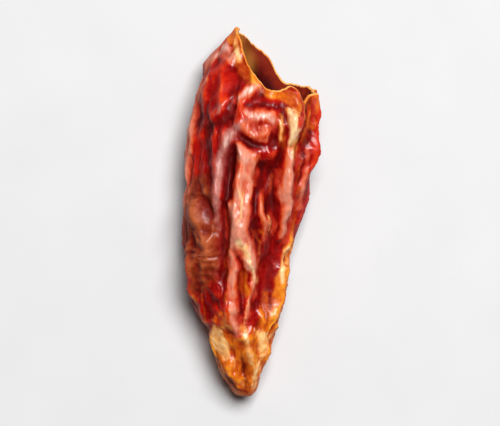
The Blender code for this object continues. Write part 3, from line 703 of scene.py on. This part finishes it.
def fine_relief(angle, along, large):
    """The small folds, crinkles, ripples and grain that come on top, calmer in hollows and at the neck."""
    centre, middle, half_width, half_height = section(along)
    sine = np.sin(angle)
    x, z = centre + half_width * np.cos(angle), middle + half_height * sine
    creases = np.where(sine > 0, crease_height(x, along), 0.0)
    calm = np.where(sine > 0, facet_height(in_pixels(CALM), x, along), 0.0)
    rippled = np.where(sine > 0, facet_height(in_pixels(BROWN), x, along), 0.0)
    foot = np.where(sine < 0, foot_share(x, along), 0.0)
    moved = drifted(np.stack((x, along, z), axis=-1), FINE_DRIFT_SIZE, FINE_DRIFT)
    fine = crumple_height(CRINKLES, moved) + pillow_height(CREPE, moved) + pillow_height(GRAIN, moved)
    fine *= faded(HOLLOW_SHARE, -large / HOLLOW_DEPTH)
    fine *= faded(FINE_NECK_SHARE, (along - NECK_START) / FINE_NECK_TAPER)
    fine *= faded(EDGE_SHARE, 1.0 - np.abs(sine) / EDGE_FADE)
    fine *= (1.0 - calm) * (1.0 - (1.0 - RIPPLED_SHARE) * rippled)
    fine += rippled * pillow_height(RIPPLES, moved)
    return ramp(np.abs(sine) / EDGE_FADE) * creases + fine * ramp(along / FINE_TIP_FADE) * (1.0 - foot)


def lowest(values, around, ahead):
    """The lowest value of a grid within `around` cells each way round it and `ahead` rows each way."""
    low = np.min([np.roll(values, k, axis=1) for k in range(-around, around + 1)], axis=0)
    padded = np.pad(low, ((ahead, ahead), (0, 0)), mode="edge")
    return np.min([padded[k : k + len(values)] for k in range(2 * ahead + 1)], axis=0)


def skin_points(angle, along, inner):
    """Points of the skin's outer or inner side, and how far each stands out from the plain section."""
    centre, middle, half_width, half_height = section(along)
    cosine, sine = np.cos(angle), np.sin(angle)
    pinch = PINCH_LEFT + (PINCH_RIGHT - PINCH_LEFT) * ramp((cosine + 1) / 2)
    lift = np.copysign(np.abs(sine) ** pinch, sine)
    normal_x, normal_z = cosine / half_width, sine / half_height
    size = np.hypot(normal_x, normal_z)
    large = relief(angle, along)
    if inner:
        behind_rim = ramp((rim_at(angle) - along) / RIM_TAPER)
        thickness = SKIN_AT_RIM + (SKIN - SKIN_AT_RIM) * behind_rim
        into = np.clip((along - CAVITY_END) / CAVITY_ROUNDING, 0.0, 1.0)
        closing = np.sqrt(1.0 - (1.0 - into) ** 2)
        large += (lowest(large, *INNER_NEIGHBOURS) - large) * behind_rim
        height = closing * (large + INNER_SHARE * fine_relief(angle, along, large))
        half_width = (half_width - thickness) * closing
        half_height = (half_height - thickness) * closing
    else:
        height = large + fine_relief(angle, along, large)
    x = centre + half_width * cosine + normal_x / size * height
    z = middle + half_height * lift + normal_z / size * height
    return np.stack((x, along, np.maximum(z, THINNEST_FLOOR if inner else 0.0)), axis=-1), height


def grid_places(angle, start, rows):
    """How far from the tip each point of a grid is. The last ring lies on the torn rim, with its tatters."""
    share = (np.arange(1, rows + 1) / rows)[:, None]
    usual = start + (USUAL_RIM - start) * share**ROW_CROWDING
    blend = ramp((share - RIM_BLEND_START) / (1.0 - RIM_BLEND_START))
    edge = rim_at(angle[:1])
    across, up = MOUTH_HALF_SIZE
    round_rim = np.stack((across * np.cos(angle[:1]), edge, up * np.sin(angle[:1])), axis=-1)
    for size, depth in TATTERS:
        edge = edge - depth * np.abs(noise_at(round_rim / size))
    return usual + blend * (edge - USUAL_RIM)


def blurred(values, around, ahead):
    """Values of a grid, averaged over `around` cells each way round it and `ahead` rows each way."""
    total = sum(np.roll(values, k, axis=1) for k in range(-around, around + 1)) / (2 * around + 1)
    padded = np.pad(total, ((ahead, ahead), (0, 0)), mode="edge")
    return sum(padded[k : k + len(values)] for k in range(2 * ahead + 1)) / (2 * ahead + 1)


def closed_mesh(name, rings):
    """A smooth closed mesh through rings of points, with a point in the middle of each end ring."""
    points = np.concatenate((rings.reshape(-1, 3), [rings[0].mean(axis=0), rings[-1].mean(axis=0)]))
    points[:, 1] -= POD_LENGTH / 2
    corner = np.arange(SIDES)
    following = (corner + 1) % SIDES
    last = (len(rings) - 1) * SIDES
    faces = []
    for ring in range(0, last, SIDES):
        quads = (ring + corner, ring + following, ring + SIDES + following, ring + SIDES + corner)
        faces += np.stack(quads, axis=1).tolist()
    tip, end = np.full(SIDES, last + SIDES), np.full(SIDES, last + SIDES + 1)
    faces += np.stack((following, corner, tip), axis=1).tolist()
    faces += np.stack((last + corner, last + following, end), axis=1).tolist()
    mesh = bpy.data.meshes.new(name)
    mesh.from_pydata((points * MM).tolist(), [], faces)
    made = bmesh.new()
    made.from_mesh(mesh)
    bmesh.ops.recalc_face_normals(made, faces=made.faces)
    made.to_mesh(mesh)
    made.free()
    mesh.shade_smooth()
    return mesh


def steepness(mesh, shape):
    """1 where the mesh stands steep and 0 where it lies level, at each point of its grid."""
    normals = np.zeros(3 * len(mesh.vertices))
    mesh.vertices.foreach_get("normal", normals)
    facing_up = normals[2::3][: math.prod(shape)].reshape(shape)
    return 1.0 - ramp((np.abs(facing_up) - STEEP[0]) / (STEEP[1] - STEEP[0]))


def painted_values(rings, angles, inside):
    """How strongly the painted highlight along the left edge and each patch of colour, painted highlights
    and shade among them, show at each point of the rings.
    """
    sine = np.sin(angles)
    outside = inside == 0.0
    # The painted highlight along the left edge
    line = ramp((EDGE_HIGHLIGHT[1] - sine) / EDGE_LINE_FADE) * ramp((sine - EDGE_HIGHLIGHT[0]) / EDGE_LINE_FADE)
    line = line * (np.cos(angles) < 0.0) * ramp((rings[..., 1] - EDGE_LINE_START) / EDGE_LINE_TAPER)
    values = {"edge": line * outside}
    plan = drifted(rings, PATCH_DRIFT_SIZE, PATCH_DRIFT)
    top = outside * ramp((sine - UNDER[0]) / (UNDER[1] - UNDER[0]))
    for name, patches in PAINTED.items():
        shown_on = inside == 1.0 if name == "glow" else top
        values[name] = shown_on * facet_height(in_pixels(patches), plan[..., 0], plan[..., 1])
    # The tip's amber: orange thin skin with painted light shining through it
    tip_end = TIP_AMBER_END + TIP_EDGE_DRIFT * noise_at(rings / TIP_EDGE_SIZE)
    tip = TIP_AMBER * ramp((tip_end - plan[..., 1]) / TIP_AMBER_FADE) * outside
    values["amber"] = np.maximum(values["amber"], tip)
    return values


def fine_pod():
    """The skin's outer side, lip and inner side as one mesh, with the values that its colours follow."""
    angles = 2 * np.pi * np.arange(SIDES) / SIDES
    outer_angle, inner_angle = np.tile(angles, (OUTER_ROWS, 1)), np.tile(angles, (INNER_ROWS, 1))
    outer_along = grid_places(outer_angle, 0.0, OUTER_ROWS)
    inner_along = grid_places(inner_angle, CAVITY_END, INNER_ROWS)
    outer, outer_height = skin_points(outer_angle, outer_along, inner=False)
    inner, inner_height = skin_points(inner_angle, inner_along, inner=True)
    inner, inner_height, inner_along = inner[::-1], inner_height[::-1], inner_along[::-1]
    lip_shares = np.arange(1, LIP_ROWS) / LIP_ROWS
    lip = np.array([outer[-1] + (inner[0] - outer[-1]) * share for share in lip_shares])
    lip[..., 1] += LIP_SWELL * np.sin(np.pi * lip_shares)[:, None]
    rings = np.concatenate((outer, lip, inner))
    mesh = closed_mesh("pod_skin", rings)

    on_lip = np.zeros((LIP_ROWS - 1, SIDES))
    inside = np.concatenate((np.zeros_like(outer_along), on_lip + 0.5, np.ones_like(inner_along)))
    outer_standing = outer_height - blurred(outer_height, *OUTER_NEIGHBOURHOOD)
    inner_standing = inner_height - blurred(inner_height, *INNER_NEIGHBOURHOOD)
    from_rim = (outer_along[-1:] - outer_along, on_lip, inner_along[:1] - inner_along)
    values = {
        "standing": np.concatenate((outer_standing, on_lip, inner_standing)),
        "from_rim": np.concatenate(from_rim),
        "inside": inside,
        "steep": steepness(mesh, inside.shape) * (1.0 - inside),
    }
    values |= painted_values(rings, angles, inside)
    for name, numbers in values.items():
        attribute = mesh.attributes.new(name, "FLOAT", "POINT")
        attribute.data.foreach_set("value", np.append(numbers.ravel(), (0.0, 0.0)))
    return mesh


class Nodes:
    """A material's node tree, written as short calls."""

    def __init__(self, name):
        self.material = bpy.data.materials.new(name)
        self.material.use_nodes = True
        self.tree = self.material.node_tree
        self.shader = self.tree.nodes["Principled BSDF"]

    def add(self, kind, **values):
        """A new node of this kind, with its properties."""
        node = self.tree.nodes.new(kind)
        for name, value in values.items():
            setattr(node, name, value)
        return node

    def link(self, output, target):
        """Leads an output to an input."""
        self.tree.links.new(output, target)

    def shade(self, **outputs):
        """Leads each output to the shader's input of that name, with spaces for underscores."""
        for name, output in outputs.items():
            self.link(output, self.shader.inputs[name.replace("_", " ")])

    def attribute(self, name):
        """The mesh's value of this name."""
        return self.add("ShaderNodeAttribute", attribute_name=name).outputs["Fac"]

    def noise(self, size, detail=3.0, distortion=0.0, stretch=1.0):
        """Noise of this size in millimetres, longer along the pod by the stretch."""
        node = self.add("ShaderNodeTexNoise")
        scaled = self.add("ShaderNodeVectorMath", operation="MULTIPLY")
        scaled.inputs[1].default_value = (1 / MM, 1 / MM / stretch, 1 / MM)
        self.link(self.add("ShaderNodeTexCoord").outputs["Object"], scaled.inputs[0])
        self.link(scaled.outputs[0], node.inputs["Vector"])
        node.inputs["Scale"].default_value = 1 / size
        node.inputs["Detail"].default_value = detail
        node.inputs["Distortion"].default_value = distortion
        return node.outputs["Fac"]

    def remap(self, value, low, high, to_low=0.0, to_high=1.0):
        """A smooth change from one number to another while the value goes from low to high."""
        node = self.add("ShaderNodeMapRange", interpolation_type="SMOOTHSTEP")
        self.link(value, node.inputs["Value"])
        for name, number in zip(("From Min", "From Max", "To Min", "To Max"), (low, high, to_low, to_high)):
            node.inputs[name].default_value = number
        return node.outputs["Result"]

    def math(self, operation, first, second):
        """The sum, difference or product of two values or numbers."""
        node = self.add("ShaderNodeMath", operation=operation)
        for i, value in enumerate((first, second)):
            if isinstance(value, (int, float)):
                node.inputs[i].default_value = value
            else:
                self.link(value, node.inputs[i])
        return node.outputs[0]

    def uneven(self, value, noise_value, amount):
        """A value with noise about 0 added to it."""
        about_zero = self.math("SUBTRACT", noise_value, 0.5)
        return self.math("ADD", value, self.math("MULTIPLY", about_zero, amount))

    def gradient(self, value, *stops):
        """The colour at this value, between stops of a place and a colour."""
        node = self.add("ShaderNodeValToRGB")
        self.link(value, node.inputs["Fac"])
        elements = node.color_ramp.elements
        while len(elements) < len(stops):
            elements.new(0.5)
        for element, (place, colour) in zip(elements, stops):
            element.position = place
            element.color = (*colour, 1.0)
        return node.outputs["Color"]

    def mix(self, share, first, second):
        """The second colour over the first by this share."""
        node = self.add("ShaderNodeMix", data_type="RGBA")
        self.link(share, node.inputs["Factor"])
        for i, colour in zip(MIX_COLOURS, (first, second)):
            if isinstance(colour, tuple):
                node.inputs[i].default_value = (*colour, 1.0)
            else:
                self.link(colour, node.inputs[i])
        return node.outputs[MIX_RESULT]

    def bump(self, height, strength, distance):
        """Fine relief for the shader, by its height and its depth in millimetres."""
        node = self.add("ShaderNodeBump")
        self.link(height, node.inputs["Height"])
        node.inputs["Strength"].default_value = strength
        node.inputs["Distance"].default_value = distance * MM
        self.shade(Normal=node.outputs["Normal"])


def outer_colour(nodes, values, noises):
    """Red with the layers of other tones over it, painted highlights and painted shade among them, whose
    shares are kept among the values by tone.
    """
    tones = {}
    # Each tone is darker in the hollows and lighter on the ridges, as painted shade and painted highlight
    for name, (amount, *colours) in TONES.items():
        place = nodes.uneven(nodes.remap(values["standing"], *TONE_HEIGHTS), noises["fine"], amount)
        tones[name] = nodes.gradient(place, *zip(TONE_PLACES, colours))
    # The red is darker in the hollows and lighter on the ridges: painted shade and painted highlight
    place = nodes.remap(values["standing"], *RED_HEIGHTS)
    for grain, amount in RED_UNEVENNESS:
        place = nodes.uneven(place, noises[grain], amount)
    colour = nodes.gradient(place, *RED)
    for followed, tone, grain, amount, low, high in LAYERS:
        values[tone] = nodes.remap(nodes.uneven(nodes.attribute(followed), noises[grain], amount), low, high)
        colour = nodes.mix(values[tone], colour, tones[tone])
    return colour


def skin_material():
    """Deep red glossy skin with painted shade in its creases and painted highlights on its ridges, amber
    where thin and lit through, pale at the torn rim, and dull inside with painted shade deep in the mouth.
    """
    nodes = Nodes("chili_skin")
    values = {name: nodes.attribute(name) for name in ("standing", "from_rim", "inside", "steep")}
    noises = {
        "mottle": nodes.noise(size=2.2, detail=4.0),
        "fine": nodes.noise(size=0.5, detail=4.0),
        "streaks": nodes.noise(size=0.45, detail=4.0, distortion=0.6, stretch=5.0),
    }
    from_rim = values["from_rim"]
    # The inside wall darkens deeper behind the rim as painted shade, and takes the painted glow of light
    # through the skin
    wall = nodes.uneven(nodes.remap(from_rim, WALL_DEPTH, 0.0), noises["fine"], WALL_UNEVENNESS)
    wall = nodes.mix(nodes.attribute("glow"), nodes.gradient(wall, *WALL), GLOW)
    lip = nodes.mix(nodes.remap(noises["mottle"], *LIP_MOTTLING), *LIP)
    torn = nodes.remap(nodes.uneven(from_rim, noises["mottle"], LIP_UNEVENNESS), LIP_WIDTH, 0.0)
    colour = outer_colour(nodes, values, noises)
    colour = nodes.mix(nodes.remap(values["inside"], *WALL_START), colour, wall)
    colour = nodes.mix(torn, colour, lip)

    values["hollow"] = nodes.remap(values["standing"], *HOLLOW)
    roughness = nodes.remap(noises["fine"], *ROUGHNESS)
    for name, amount in DULLER.items():
        roughness = nodes.math("ADD", roughness, nodes.math("MULTIPLY", values[name], amount))
    coat, *others = [nodes.remap(values[name], *ends) for name, *ends in COAT]
    for share in others:
        coat = nodes.math("MULTIPLY", coat, share)
    nodes.shade(Base_Color=colour, Roughness=roughness, Coat_Weight=coat)
    nodes.shader.inputs["Specular IOR Level"].default_value = 0.08
    nodes.shader.inputs["Coat Roughness"].default_value = 0.26
    nodes.bump(nodes.noise(size=0.18, detail=4.0, stretch=1.6), strength=0.5, distance=0.05)
    return nodes.material


def seed_material():
    """Dull straw-yellow seed coat, darker in places."""
    nodes = Nodes("chili_seed")
    nodes.shade(Base_Color=nodes.gradient(nodes.noise(size=0.5, detail=4.0), *SEED_COLOURS))
    nodes.shader.inputs["Roughness"].default_value = 0.55
    nodes.bump(nodes.noise(size=0.09, detail=2.0), strength=0.5, distance=0.04)
    return nodes.material


def floor_material():
    """Pale matte card with a faint mottling."""
    nodes = Nodes("floor")
    nodes.shade(Base_Color=nodes.gradient(nodes.noise(size=9.0), *FLOOR_COLOURS))
    nodes.shader.inputs["Roughness"].default_value = 0.9
    nodes.shader.inputs["Specular IOR Level"].default_value = 0.2
    return nodes.material


def fine_seed(node):
    """A seed's solid, made finer, with a raised edge, a dished middle and a faintly pitted coat."""
    made = bmesh.new()
    made.from_mesh(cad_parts[node].data)
    bmesh.ops.remove_doubles(made, verts=made.verts, dist=SEED_WELD * MM)
    bmesh.ops.subdivide_edges(made, edges=made.edges, cuts=SEED_CUTS, use_grid_fill=True, smooth=1.0)
    places = np.array([vertex.co[:] for vertex in made.verts])
    axes = np.linalg.svd(places - places.mean(axis=0), full_matrices=False)[2]
    local = (places - places.mean(axis=0)) @ axes.T / MM
    reach = np.hypot(local[:, 0] / SEED_HALF_SIZE[0], local[:, 1] / SEED_HALF_SIZE[1])
    edge = SEED_EDGE[2] * np.exp(-(((reach - SEED_EDGE[0]) / SEED_EDGE[1]) ** 2))
    dish = SEED_DISH[1] * np.exp(-((reach / SEED_DISH[0]) ** 2))
    pits = SEED_PITS[1] * noise_at(places / MM / SEED_PITS[0])
    made.normal_update()
    for vertex, amount in zip(made.verts, edge - dish + pits):
        vertex.co += vertex.normal * float(amount) * MM
    mesh = bpy.data.meshes.new(f"fine_{node}")
    made.to_mesh(mesh)
    made.free()
    mesh.shade_smooth()
    return mesh


def shown(name, mesh, node, material):
    """A finished piece that stands for a node of the part."""
    mesh.materials.append(material)
    piece = bpy.data.objects.new(name, mesh)
    bpy.context.scene.collection.objects.link(piece)
    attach(piece, "root")
    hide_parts(node)


def floor():
    """A wide pale floor."""
    made = bmesh.new()
    bmesh.ops.create_grid(made, x_segments=1, y_segments=1, size=FLOOR_REACH)
    mesh = bpy.data.meshes.new("floor")
    made.to_mesh(mesh)
    made.free()
    mesh.materials.append(floor_material())
    ground = bpy.data.objects.new("floor", mesh)
    bpy.context.scene.collection.objects.link(ground)


def aimed(thing, name, place, target):
    """An object for a lamp or camera, at a place and looking at a target."""
    made = bpy.data.objects.new(name, thing)
    bpy.context.scene.collection.objects.link(made)
    made.location = place
    made.rotation_mode = "QUATERNION"
    made.rotation_quaternion = (Vector(target) - Vector(place)).to_track_quat("-Z", "Y")
    return made


def studio():
    """A dim room with a large soft light over the pod, and a camera that looks straight down."""
    world = bpy.data.worlds.new("room")
    world.use_nodes = True
    background = world.node_tree.nodes["Background"]
    background.inputs["Color"].default_value = (1.0, 1.0, 1.0, 1.0)
    background.inputs["Strength"].default_value = ROOM_LIGHT
    bpy.context.scene.world = world
    bpy.context.scene.view_settings.view_transform = "Standard"
    lamp = bpy.data.lights.new("key", "AREA")
    lamp.size = KEY_SIZE
    lamp.energy = KEY_POWER
    aimed(lamp, "key", KEY_PLACE, KEY_TARGET)
    camera = bpy.data.cameras.new("camera")
    camera.lens = LENS
    camera.clip_start = NEAREST_SEEN
    height = VIEW_WIDTH / 2 / math.tan(camera.angle / 2)
    bpy.context.scene.camera = aimed(camera, "camera", (0.0, 0.0, height), (0.0, 0.0, 0.0))


shown("pod_skin", fine_pod(), "pod", skin_material())
seed_coat = seed_material()
for seed in sorted(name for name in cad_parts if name.startswith("seed_")):
    shown(f"{seed}_coat", fine_seed(seed), seed, seed_coat)
floor()
studio()
